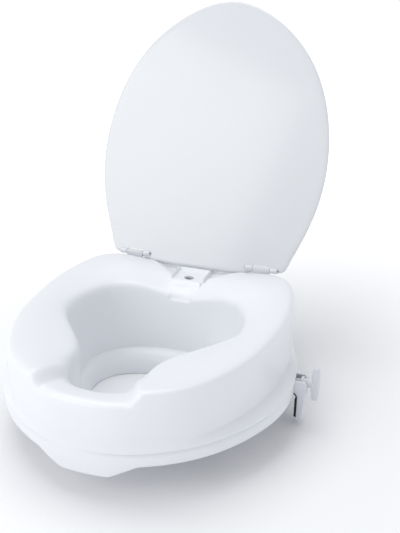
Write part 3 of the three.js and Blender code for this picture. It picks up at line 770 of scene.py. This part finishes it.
def rear_details(points, settings):
    """Recess round the vent, its rib, the shelf under the lid's hinge and the channel below the lip.

    Heights of the top surface near the rear are changed by smooth masks in x and y: the floor is
    mixed to one level, the rib is a ridge along a U-shaped line, the shelf falls away behind a line
    that runs outwards and back. On the inner wall the channel moves the surface back along Y.
    """
    x, y, z = points[..., 0], points[..., 1], points[..., 2]
    across = np.abs(x)
    rear_top = smooth_step(*REAR_TOP_Z, z) * smooth_step(*REAR_TOP_Y, y)

    start_x, start_y = SHELF_START
    line = start_y + SHELF_BACKWARD * (across - start_x)
    behind = (y - line) / math.hypot(1, SHELF_BACKWARD)
    shelf = SHELF_SLOPE * (np.hypot(behind, SHELF_SOFTNESS) + behind - SHELF_SOFTNESS) / 2
    shelf *= smooth_step(*SHELF_INNER_X, across) * (1 - smooth_step(*SHELF_OUTER_X, across))
    shelf *= 1 - smooth_step(*SHELF_END_Y, y)
    z = z - np.clip(shelf, 0, 5) * rear_top

    floor = 1 - smooth_step(VENT_HALF - 0.6, VENT_HALF + 0.8, across)
    floor *= smooth_step(*VENT_START_Y, y) * (1 - smooth_step(VENT_BACK - 0.6, VENT_BACK + 0.8, y))
    z = z + (VENT_FLOOR - z) * floor * rear_top

    past_x, past_y = across - VENT_HALF - RIB_HALF, y - VENT_BACK - RIB_HALF
    far = 10
    side_gap = np.abs(past_x) + far * (past_y > 0)
    back_gap = np.abs(past_y) + far * (past_x > 0)
    corner_gap = np.hypot(np.maximum(past_x, 0), np.maximum(past_y, 0))
    corner_gap += far * ((past_x <= 0) & (past_y <= 0))
    gap = np.minimum(np.minimum(side_gap, back_gap), corner_gap)
    ridge = (1 - smooth_step(RIB_HALF * 0.55, RIB_HALF * 1.5, gap)) * smooth_step(*RIB_START_Y, y)
    z = z + np.clip(RIB_TOP - z, 0, 6) * ridge * rear_top

    front, back = CHANNEL_Y
    channel = smooth_step(*CHANNEL_LOW_Z, z) * (1 - smooth_step(*CHANNEL_HIGH_Z, z)) * (y > front)
    channel *= (y < back) * (1 - smooth_step(*CHANNEL_EDGE_X, across))
    y = y + settings.channel_depth / MM * channel
    return np.stack([x, y, z], -1)


def shell_cutters(settings):
    """Solids that are cut out of the shell: clamp pockets, bores, hinge recesses and the vent."""
    cutters = []
    half = CLAMP_HALF + POCKET_CLEARANCE
    front, back = LEAF_RECESS_Y
    low, high = LEAF_RECESS_Z
    trough = [(KNUCKLE_INNER - past, radius) for past, radius in TROUGH_END]
    trough += [(KNUCKLE_OUTER + past, radius) for past, radius in TROUGH_END[::-1]]
    for name, side in SIDES:
        cutters += [mirror_side(cutter, side) for cutter in (
            rounded_box(f"pocket_{name}", (POCKET_WALL, CLAMP_Y - half, POCKET_BOTTOM),
                        (POCKET_OPEN, CLAMP_Y + half, HEAD_TOP + POCKET_CLEARANCE), 1.0),
            rod(f"bore_{name}", SPINDLE_INNER - 10, POCKET_WALL + 5, NUT_BORE, CLAMP_LINE),
            rounded_box(f"recess_{name}", (KNUCKLE_INNER - 1, front, low),
                        (KNUCKLE_OUTER + 1, back, high), 1.2),
            turned(f"trough_{name}", trough, HINGE_LINE))]
    hole = [(VENT_FLOOR + height, radius) for height, radius in VENT_HOLLOW]
    hole += [(VENT_FLOOR + height, settings.vent_radius / MM + wider) for height, wider in VENT_FLARE]
    return cutters + [turned("vent", hole, (0, VENT_Y), along="z")]


class RAISEDSEAT_OT_shell(Operator):
    """Blow-moulded seat: bolsters, front dip, step, tab, splash guard, vent recess and pockets"""

    bl_idname = "raised_seat.shell"
    bl_label = "Seat Shell"

    def execute(self, context):
        settings = context.scene.seat_shell
        t = stations(settings.around, 2 * len(BROW) - 2)
        controls, rows = shell_controls(t)
        points = rear_details(loop_curve(controls, rows), settings)
        shell = mesh_object("seat_shell", [skin(points)])
        combine(shell, shell_cutters(settings), "DIFFERENCE")
        place(shell, "seat", "shell_white", ["seat_body"], sharp=38)
        return {"FINISHED"}


# ------------------------------------------------------------------ lid
def open_lid(x, u, w):
    """Lid's own coordinates to the open lid: u runs up from the hinge, leaning back, and w towards
    the back."""
    return np.stack([x, HINGE_Y + u * math.sin(LID_LEAN) + w * math.cos(LID_LEAN),
                     HINGE_Z + u * math.cos(LID_LEAN) - w * math.sin(LID_LEAN)], -1)


def lid_rings(settings):
    """Rings of the lid from the middle of the underside, over the rim, to the middle of the top.

    A ring is the outline drawn in towards the centre. Near the rim the draw and the height follow a
    B-spline round the edge; inside it the height changes with the square of the ring's size.
    """
    loop = 2 * len(LID_OUTLINE) - 2
    edge = outline(LID_OUTLINE, np.linspace(0, loop, settings.around, endpoint=False))
    centre = np.array([0.0, LID_CENTRE])
    reach = np.linalg.norm(edge - centre, axis=1)
    rim = open_curve(LID_RIM, 4)
    size = np.linspace(0.02, 0.97, 14)
    bulges = ((rim[0], settings.hollow / MM), (rim[-1], LID_THICK - rim[-1, 1]))
    under, top = ([(1 - k * (1 - inset / reach), w + bulge * (1 - k * k)) for k in size]
                  for (inset, w), bulge in bulges)
    rows = under + [(inset / reach, w) for inset, w in rim] + top[::-1]
    rings = []
    for drawn, w in rows:
        flat = centre + (edge - centre) * (1 - drawn)[:, None]
        rings.append(open_lid(flat[:, 0], flat[:, 1], np.full(len(flat), w)))
    return np.array(rings)


class RAISEDSEAT_OT_lid(Operator):
    """Lid, open on its hinge, with a knuckle either side of each bracket"""

    bl_idname = "raised_seat.lid"
    bl_label = "Lid"

    def execute(self, context):
        settings = context.scene.seat_lid
        lid = mesh_object("lid_panel", [skin(lid_rings(settings), "points")])
        ears, holes = [], []
        upright = Matrix.Translation(Vector((0, *HINGE_LINE)) * MM) @ Matrix.Rotation(-LID_LEAN, 4, "X")
        for name, side in SIDES:
            for label, start in (("inner", KNUCKLE_INNER - GAP - EAR_LENGTH), ("outer", KNUCKLE_OUTER + GAP)):
                barrel = rounded_turn(start, start + EAR_LENGTH, KNUCKLE_RADIUS, 0.9)
                ears.append(mirror_side(turned(f"ear_{label}_{name}", barrel, HINGE_LINE), side))
            notch = rounded_box(f"notch_{name}", (KNUCKLE_INNER - GAP, -20, -30),
                                (KNUCKLE_OUTER + GAP, 20, NOTCH_TOP), 0.3)
            notch.data.transform(upright)
            pin = hinge_rod(f"pin_bore_{name}", EAR_LENGTH - 1, PIN_RADIUS + GAP)
            eye = hinge_rod(f"eye_{name}", EAR_LENGTH + 2.5, EYE_RADIUS, steps=24)
            holes += [mirror_side(hole, side) for hole in (notch, pin, eye)]
        combine(lid, ears, "UNION")
        combine(lid, holes, "DIFFERENCE")
        place(lid, "lid", "lid_white", ["lid"])
        return {"FINISHED"}


# ------------------------------------------------------------------ hinges
def rounded_turn(start, end, radius, edge, steps=4):
    """Profile of a turned rod with round edges, from start to end: (x, radius) points."""
    angle = np.linspace(math.pi / 2, 0, steps + 1)
    first = np.column_stack([start + edge * (1 - np.sin(angle)), radius - edge * (1 - np.cos(angle))])
    return np.vstack([first, first[::-1] * (-1, 1) + (start + end, 0)])


def hinge_rod(name, past, radius, steps=48):
    """Plain rod along the hinge's line, some way past the bracket's knuckle at both ends."""
    return rod(name, KNUCKLE_INNER - past, KNUCKLE_OUTER + past, radius, HINGE_LINE, steps)


class RAISEDSEAT_OT_hinges(Operator):
    """Hinge brackets with their knuckles, hinge pins and cross-headed screws"""

    bl_idname = "raised_seat.hinges"
    bl_label = "Hinges"

    def execute(self, context):
        front = LEAF_RECESS_Y[0] + GAP
        for name, side in SIDES:
            node = f"hinge_bracket_{name}"
            low, _ = cad_box(node)
            leaf = rounded_box(f"hinge_leaf_{name}", (KNUCKLE_INNER, front, low[2]),
                               (KNUCKLE_OUTER, front + LEAF_THICK, HINGE_Z), 0.7)
            mirror_side(leaf, side)
            barrel = rounded_turn(KNUCKLE_INNER, KNUCKLE_OUTER, KNUCKLE_RADIUS, 0.5)
            combine(leaf, [mirror_side(turned(f"knuckle_{name}", barrel, HINGE_LINE), side)], "UNION")
            bore = mirror_side(hinge_rod(f"leaf_bore_{name}", 1, PIN_RADIUS + GAP), side)
            combine(leaf, [bore], "DIFFERENCE")
            place(leaf, "seat", "bracket_white", [node])

            pin = rounded_turn(KNUCKLE_INNER - PIN_REACH, KNUCKLE_OUTER + PIN_REACH, PIN_RADIUS, 0.5)
            pin = mirror_side(turned(f"pin_{name}", pin, HINGE_LINE), side)
            place(pin, "seat", "zinc_steel", [f"hinge_pin_{name}"])
            for level in ("lower", "upper"):
                node = f"hinge_screw_{name}_{level}"
                place(hinge_screw(node), "seat", "zinc_steel", [node])
        return {"FINISHED"}


def hinge_screw(node):
    """Pan-head screw along Y with a cross recess, in its CAD node's box."""
    low, high = cad_box(node)
    x, _, z = (low + high) / 2
    head, height, shank = (high[0] - low[0]) / 2, 2.4, 1.9
    face = high[1]
    profile = [(low[1], 0.5), (low[1] + 2.5, shank), (face - height, shank), (face - height, head - 0.2),
               (face - height + 0.3, head), (face - 1.3, head), (face - 0.6, head - 0.7),
               (face - 0.1, head - 1.9), (face, 0.8)]
    screw = turned(f"{node}_fine", profile, (0, 0), steps=32)
    turn = Matrix.Translation(Vector((x, 0, z)) * MM) @ Matrix.Rotation(math.pi / 2, 4, "Z")
    screw.data.transform(turn)
    long, narrow, deep = 2.1, 0.45, 1.3
    slots = [rounded_box(f"{node}_slot_{k}", (x - wide, face - deep, z - tall),
                         (x + wide, face + 1, z + tall), 0.2, steps=2)
             for k, (wide, tall) in enumerate(((long, narrow), (narrow, long)))]
    combine(screw, slots, "DIFFERENCE")
    return screw


# ------------------------------------------------------------------ clamps
def head_profile():
    """Outline of the bracket's head in X and Z, above its shoulder."""
    corner = 7.0
    return np.vstack([
        [(HEAD_INNER, SHOULDER), (HEAD_OUTER - 0.6, SHOULDER), (HEAD_OUTER, SHOULDER + 1)],
        arc(HEAD_OUTER - corner, HEAD_TOP - corner, corner, 0, 90, 10),
        [(HEAD_INNER, HEAD_TOP)]])


def arm_profile():
    """Outline of the bracket's lower part: the hollow over the rim's edge, then the arm, which
    tapers to a small round hook at the tip."""
    x, z, radius = RIM_HOLLOW
    return np.vstack([
        [(HEAD_INNER, z + radius)],
        arc(x, z, radius, 90, 0, 10), ARM_TIP, arc(*ARM_HOOK, 200, 350, 8),
        [(ARM_OUTER, SHOULDER + 1), (HEAD_INNER, SHOULDER + 1)]])


def tooth_profile():
    """Outline of the rubber strip: it lines the hollow, then runs down the arm in teeth."""
    x, z, _ = RIM_HOLLOW
    outer, inner = STRIP_RADII
    teeth = [(edge, TOOTH_TOP - TOOTH_PITCH * k - drop) for k in range(TOOTH_COUNT) for edge, drop in TOOTH]
    bottom = TOOTH_TOP - TOOTH_PITCH * TOOTH_COUNT
    return np.vstack([[(STRIP_BACK, bottom)], arc(x, z, outer, 0, 90, 12), arc(x, z, inner, 90, 0, 12),
                      teeth, [(TOOTH[0][0], bottom)]])


def clamp_plate(name, points, narrower, edge, steps=3):
    """Plate across the clamp, as wide as the bracket's head or narrower by so much on each side."""
    half = CLAMP_HALF - narrower
    return plate(name, points, CLAMP_Y - half, CLAMP_Y + half, edge, steps=steps)


class RAISEDSEAT_OT_clamp_brackets(Operator):
    """Clamp brackets: a head with two cheeks round an open trough, and a tapered arm"""

    bl_idname = "raised_seat.clamp_brackets"
    bl_label = "Clamp Brackets"

    def execute(self, context):
        edge = context.scene.seat_clamp.edge / MM
        for name, side in SIDES:
            bracket = clamp_plate(f"bracket_{name}", head_profile(), 0, edge)
            combine(bracket, [clamp_plate(f"arm_{name}", arm_profile(), ARM_NARROWER, edge)], "UNION")
            half = CLAMP_HALF - CHEEK
            combine(bracket, [
                rounded_box("trough", (HEAD_INNER + 5, CLAMP_Y - half, CLAMP_Z - CLAMP_TROUGH_DROP),
                            (NECK_X, CLAMP_Y + half, 50), 1.2),
                rod("throat", HEAD_INNER - 1, HEAD_INNER + 7, THROAT_RADIUS, CLAMP_LINE),
                rod("neck", NECK_X - 2, HEAD_OUTER + 1, SLOT_HALF, CLAMP_LINE),
                rounded_box("slot", (NECK_X - 3, CLAMP_Y - SLOT_HALF, CLAMP_Z),
                            (HEAD_OUTER + 3, CLAMP_Y + SLOT_HALF, 50), 0.6)], "DIFFERENCE")
            mirror_side(bracket, side)
            place(bracket, f"clamp_{name}", "clamp_grey", [f"clamp_bracket_{name}"])
        return {"FINISHED"}


class RAISEDSEAT_OT_clamp_grips(Operator):
    """Toothed rubber strips that grip the toilet's rim"""

    bl_idname = "raised_seat.clamp_grips"
    bl_label = "Clamp Grips"

    def execute(self, context):
        for name, side in SIDES:
            strip = clamp_plate(f"grip_strip_{name}", tooth_profile(), STRIP_NARROWER, 0.35, steps=2)
            place(mirror_side(strip, side), f"clamp_{name}", "grip_rubber",
                  [f"clamp_grip_{name}"], sharp=40)
        return {"FINISHED"}


def knob_bar():
    """Upright bar of the knob: a superellipsoid, its three half sizes times powers of the cosine
    and sine of two angles, so that faces are nearly flat and every edge is well rounded."""
    rise = np.linspace(-math.pi / 2, math.pi / 2, 49)[1:-1]
    turn = np.linspace(0, 2 * math.pi, 64, endpoint=False)

    def power(values, exponent):
        return np.sign(values) * np.abs(values) ** exponent

    ends, sides, tips = 0.42, 0.5, 0.8
    ring = power(np.cos(rise), ends)[:, None]
    x = GRIP_X + GRIP_DEPTH / 2 + GRIP_DEPTH / 2 * ring * power(np.cos(turn), sides)
    y = CLAMP_Y + GRIP_WIDTH / 2 * ring * power(np.sin(turn), sides)
    z = CLAMP_Z + GRIP_HALF * power(np.sin(rise), tips)[:, None] * np.ones(len(turn))
    return mesh_object("knob_bar", [skin(np.stack([x, y, z], -1), "points")])


def knob_stem():
    """Profile of the collar inside the bracket, the neck in its slot and the flared hub."""
    face = HEAD_OUTER + GAP
    hub = open_curve(((face, NECK_RADIUS), (face, HUB_RADIUS - 0.4), (face, HUB_RADIUS - 0.1),
                      (HEAD_OUTER + 2, HUB_RADIUS), (GRIP_X - 1.5, HUB_RADIUS - 0.1),
                      (GRIP_X, HUB_FLARE - 0.4), (GRIP_X + 1.5, HUB_FLARE)), 4)
    collar = ((NECK_X - 4, SPINDLE_BORE), (NECK_X - 4, COLLAR_RADIUS - 0.5), (NECK_X - 3.5, COLLAR_RADIUS),
              (NECK_X - 0.8, COLLAR_RADIUS), (NECK_X - GAP, COLLAR_RADIUS - 0.4), (NECK_X - GAP, NECK_RADIUS))
    return np.vstack([collar, hub, [(GRIP_X + 3, 5.5)]])


class RAISEDSEAT_OT_clamp_knobs(Operator):
    """Knobs: a collar and neck in the bracket's slot, a tapered hub and an upright bar"""

    bl_idname = "raised_seat.clamp_knobs"
    bl_label = "Clamp Knobs"

    def execute(self, context):
        for name, side in SIDES:
            knob = turned(f"knob_{name}", knob_stem(), CLAMP_LINE, steps=64)
            combine(knob, [knob_bar()], "UNION")
            bore = rod("spindle_bore", NECK_X - 5, GRIP_X + 5, SPINDLE_BORE, CLAMP_LINE)
            combine(knob, [bore], "DIFFERENCE")
            mirror_side(knob, side)
            place(knob, f"knob_{name}", "knob_grey", [f"clamp_knob_{name}"])
        return {"FINISHED"}


class RAISEDSEAT_OT_clamp_spindles(Operator):
    """Threaded spindles"""

    bl_idname = "raised_seat.clamp_spindles"
    bl_label = "Clamp Spindles"

    def execute(self, context):
        depth = context.scene.seat_clamp.thread_depth / MM
        for name, side in SIDES:
            place(spindle(f"screw_{name}", side, depth), f"knob_{name}", "zinc_steel",
                  [f"clamp_spindle_{name}"], sharp=60)
        return {"FINISHED"}


def clamp_rings(x, radius, angle):
    """Rings round the spindle's line: one for each x, with its own radius at each angle."""
    return np.stack([np.broadcast_to(x[:, None], radius.shape), CLAMP_Y + radius * np.cos(angle),
                     CLAMP_Z + radius * np.sin(angle)], -1)


def spindle(name, side, depth):
    """Right-hand thread: the radius falls by the thread's depth along a smooth wave in the number of
    pitches passed, which is x over the pitch less the angle over a full turn."""
    length = GRIP_X + 4 - SPINDLE_INNER
    x = SPINDLE_INNER + np.linspace(0, length, int(length / PITCH * 12) + 1)
    angle = np.linspace(0, 2 * math.pi, 28, endpoint=False)
    phase = np.add.outer(side * x / PITCH, -angle / (2 * math.pi)) * 2 * math.pi
    wave = smooth_step(-0.55, 0.55, np.cos(phase))
    ends = smooth_step(0, 2, x - x[0]) * smooth_step(0, 6, x[-1] - x)
    chamfer = 0.5 * (1 - smooth_step(0, 1.2, x - x[0]))
    radius = SPINDLE_RADIUS - depth * (1 - wave) * ends[:, None] - chamfer[:, None]
    return mesh_object(name, [skin(clamp_rings(side * x, radius, angle), "points")])


class RAISEDSEAT_OT_clamp_nuts(Operator):
    """Knurled brass inserts that the spindles turn in"""

    bl_idname = "raised_seat.clamp_nuts"
    bl_label = "Clamp Inserts"

    def execute(self, context):
        for name, side in SIDES:
            insert = mirror_side(knurled_insert(f"insert_{name}"), side)
            place(insert, "seat", "brass", [f"clamp_nut_{name}"])
        return {"FINISHED"}


def knurled_insert(name):
    """Sleeve with two bands of straight knurls: the outer radius has 36 waves round it where the
    bands are, and the inner radius is even. The section is walked out, over and back inside."""
    low, high = cad_box("clamp_nut_right")
    start, end, outer = low[0], high[0], (high[1] - low[1]) / 2
    angle = np.linspace(0, 2 * math.pi, 144, endpoint=False)
    x = np.array([start, start, start + 0.5, start + 1, start + 6, start + 6.5, start + 8, start + 8.5,
                  end - 1, end - 0.5, end, end])
    cut_in = np.array([0.6, 0.1, 0.1, 0.1, 0.8, 0.8, 0.1, 0.1, 0.1, 0.6])
    base = np.array([SPINDLE_BORE, *(outer - cut_in), SPINDLE_BORE])
    band = np.array([0, 0, 0, 1, 1, 0, 0, 1, 1, 0, 0, 0])
    radius = base[:, None] - 0.35 * band[:, None] * (0.5 - 0.5 * np.cos(36 * angle))
    return mesh_object(name, [skin(clamp_rings(x, radius, angle))])


# ------------------------------------------------------------------ pads under the seat
class RAISEDSEAT_OT_rim_pads(Operator):
    """Rubber pads under the seat, with anti-slip grooves on their lower faces"""

    bl_idname = "raised_seat.rim_pads"
    bl_label = "Rim Pads"

    def execute(self, context):
        for name, turn in PAD_TURNS.items():
            node = f"rim_pad_{name}"
            low, high = cad_box(node)
            x, y, _ = (low + high) / 2
            bend = PAD_WIDTH / 2
            half = PAD_LENGTH / 2 - bend
            shape = np.vstack([arc(half, 0, bend, -90, 90, 16), arc(-half, 0, bend, 90, 270, 16)])
            pad = plate(f"{node}_fine", shape, low[2], high[2], 0.6, across="z")
            wide, long = GROOVE_HALF
            grooves = [rounded_box(f"groove_{k}", (GROOVE_PITCH * k - wide, -long, -1),
                                   (GROOVE_PITCH * k + wide, long, 0.8), 0.3, steps=2) for k in range(-4, 5)]
            combine(pad, grooves, "DIFFERENCE")
            turn = Matrix.Rotation(math.radians(turn), 4, "Z")
            pad.data.transform(Matrix.Translation(Vector((x, y, 0)) * MM) @ turn)
            place(pad, "seat", "pad_rubber", [node])
        return {"FINISHED"}


# ------------------------------------------------------------------ finishes and stage
class RAISEDSEAT_OT_finishes(Operator):
    """Materials of the object and the node groups that they share"""

    bl_idname = "raised_seat.finishes"
    bl_label = "Finishes"

    def execute(self, context):
        moulded_skin_group()
        tint_group()
        finishes(context.scene.seat_finish)
        return {"FINISHED"}


def soft_light(name, location, size, power, colour):
    """Square area light that faces the middle of the seat."""
    data = bpy.data.lights.new(name, "AREA")
    data.shape = "SQUARE"
    data.size = size
    data.energy = power
    data.color = colour
    lamp = bpy.data.objects.new(name, data)
    lamp.location = location
    lamp.rotation_euler = (Vector((0, 0.05, 0.1)) - Vector(location)).to_track_quat("-Z", "Y").to_euler()
    bpy.context.scene.collection.objects.link(lamp)


class RAISEDSEAT_OT_stage(Operator):
    """Pale floor, soft studio light and the camera"""

    bl_idname = "raised_seat.stage"
    bl_label = "Stage"

    def execute(self, context):
        settings = context.scene.seat_stage
        scene = context.scene
        height = CAD_BOX[0][2] - FLOOR_DROP * MM
        half = FLOOR_HALF * MM
        corners = [(-half, -half, height), (half, -half, height), (half, half, height), (-half, half, height)]
        mesh = bpy.data.meshes.new("floor")
        mesh.from_pydata(corners, [], [(0, 1, 2, 3)])
        floor = bpy.data.objects.new("floor", mesh)
        scene.collection.objects.link(floor)
        floor.data.materials.append(bpy.data.materials["floor"])

        world = bpy.data.worlds.new("studio")
        world.use_nodes = True
        tree = world.node_tree
        background = tree.nodes["Background"]
        background.inputs["Color"].default_value = (0.95, 0.97, 1.0, 1)
        seen = tree.nodes.new("ShaderNodeLightPath").outputs["Is Camera Ray"]
        extra = math_node(tree, "MULTIPLY", seen, 1 - settings.sky)
        tree.links.new(math_node(tree, "ADD", extra, settings.sky), background.inputs["Strength"])
        scene.world = world
        scene.view_settings.view_transform = "Standard"
        soft_light("key_left", (-1.3, -1.75, 1.3), 1.6, settings.key, (1.0, 0.995, 0.985))
        soft_light("top_soft", (-0.5, 0.3, 2.3), 1.6, settings.top, (1.0, 1.0, 1.0))
        soft_light("fill_right", (1.9, -0.6, 0.8), 1.4, settings.fill, (0.93, 0.96, 1.0))

        ahead = Vector((-math.sin(settings.azimuth), math.cos(settings.azimuth), 0))
        back = Vector((0, 0, math.sin(settings.elevation))) - ahead * math.cos(settings.elevation)
        right = Vector((math.cos(settings.azimuth), math.sin(settings.azimuth), 0))
        up = back.cross(right)
        turn, lift = math.cos(settings.roll), math.sin(settings.roll)
        right, up = right * turn + up * lift, up * turn - right * lift
        data = bpy.data.cameras.new("camera")
        data.sensor_fit = "AUTO"
        data.sensor_width = 36
        data.lens = settings.lens
        camera = bpy.data.objects.new("camera", data)
        pose = Matrix((right, up, back)).transposed().to_4x4()
        pose.translation = Vector(settings.target) + back * settings.distance
        camera.matrix_world = pose
        scene.collection.objects.link(camera)
        scene.camera = camera
        return {"FINISHED"}


class RAISEDSEAT_PT_panel(Panel):
    """Lists the seat's operators and settings in the sidebar"""

    bl_idname = "RAISEDSEAT_PT_panel"
    bl_label = "Raised Toilet Seat"
    bl_space_type = "VIEW_3D"
    bl_region_type = "UI"
    bl_category = "Raised Seat"

    def draw(self, context):
        for group, title in SETTINGS:
            box = self.layout.box()
            box.label(text=title)
            holder = getattr(context.scene, group)
            for label in holder.__annotations__:
                box.prop(holder, label)
        for operator in OPERATORS:
            self.layout.operator(operator.bl_idname)


SETTINGS = (("seat_shell", "Shell"), ("seat_lid", "Lid"), ("seat_clamp", "Clamps"),
            ("seat_finish", "Finishes"), ("seat_stage", "Stage"))
GROUPS = (ShellSettings, LidSettings, ClampSettings, FinishSettings, StageSettings)
OPERATORS = (RAISEDSEAT_OT_finishes, RAISEDSEAT_OT_shell, RAISEDSEAT_OT_lid, RAISEDSEAT_OT_hinges,
             RAISEDSEAT_OT_rim_pads, RAISEDSEAT_OT_clamp_brackets, RAISEDSEAT_OT_clamp_grips,
             RAISEDSEAT_OT_clamp_knobs, RAISEDSEAT_OT_clamp_spindles, RAISEDSEAT_OT_clamp_nuts,
             RAISEDSEAT_OT_stage)


def register():
    for group in (*GROUPS, *OPERATORS, RAISEDSEAT_PT_panel):
        bpy.utils.register_class(group)
    for (name, _), group in zip(SETTINGS, GROUPS):
        setattr(bpy.types.Scene, name, PointerProperty(type=group))


def unregister():
    for name, _ in SETTINGS:
        delattr(bpy.types.Scene, name)
    for group in reversed((*GROUPS, *OPERATORS, RAISEDSEAT_PT_panel)):
        bpy.utils.unregister_class(group)


def main():
    register()
    for operator in OPERATORS:
        getattr(bpy.ops.raised_seat, operator.bl_idname.split(".")[1])()


if __name__ == "__main__":
    main()
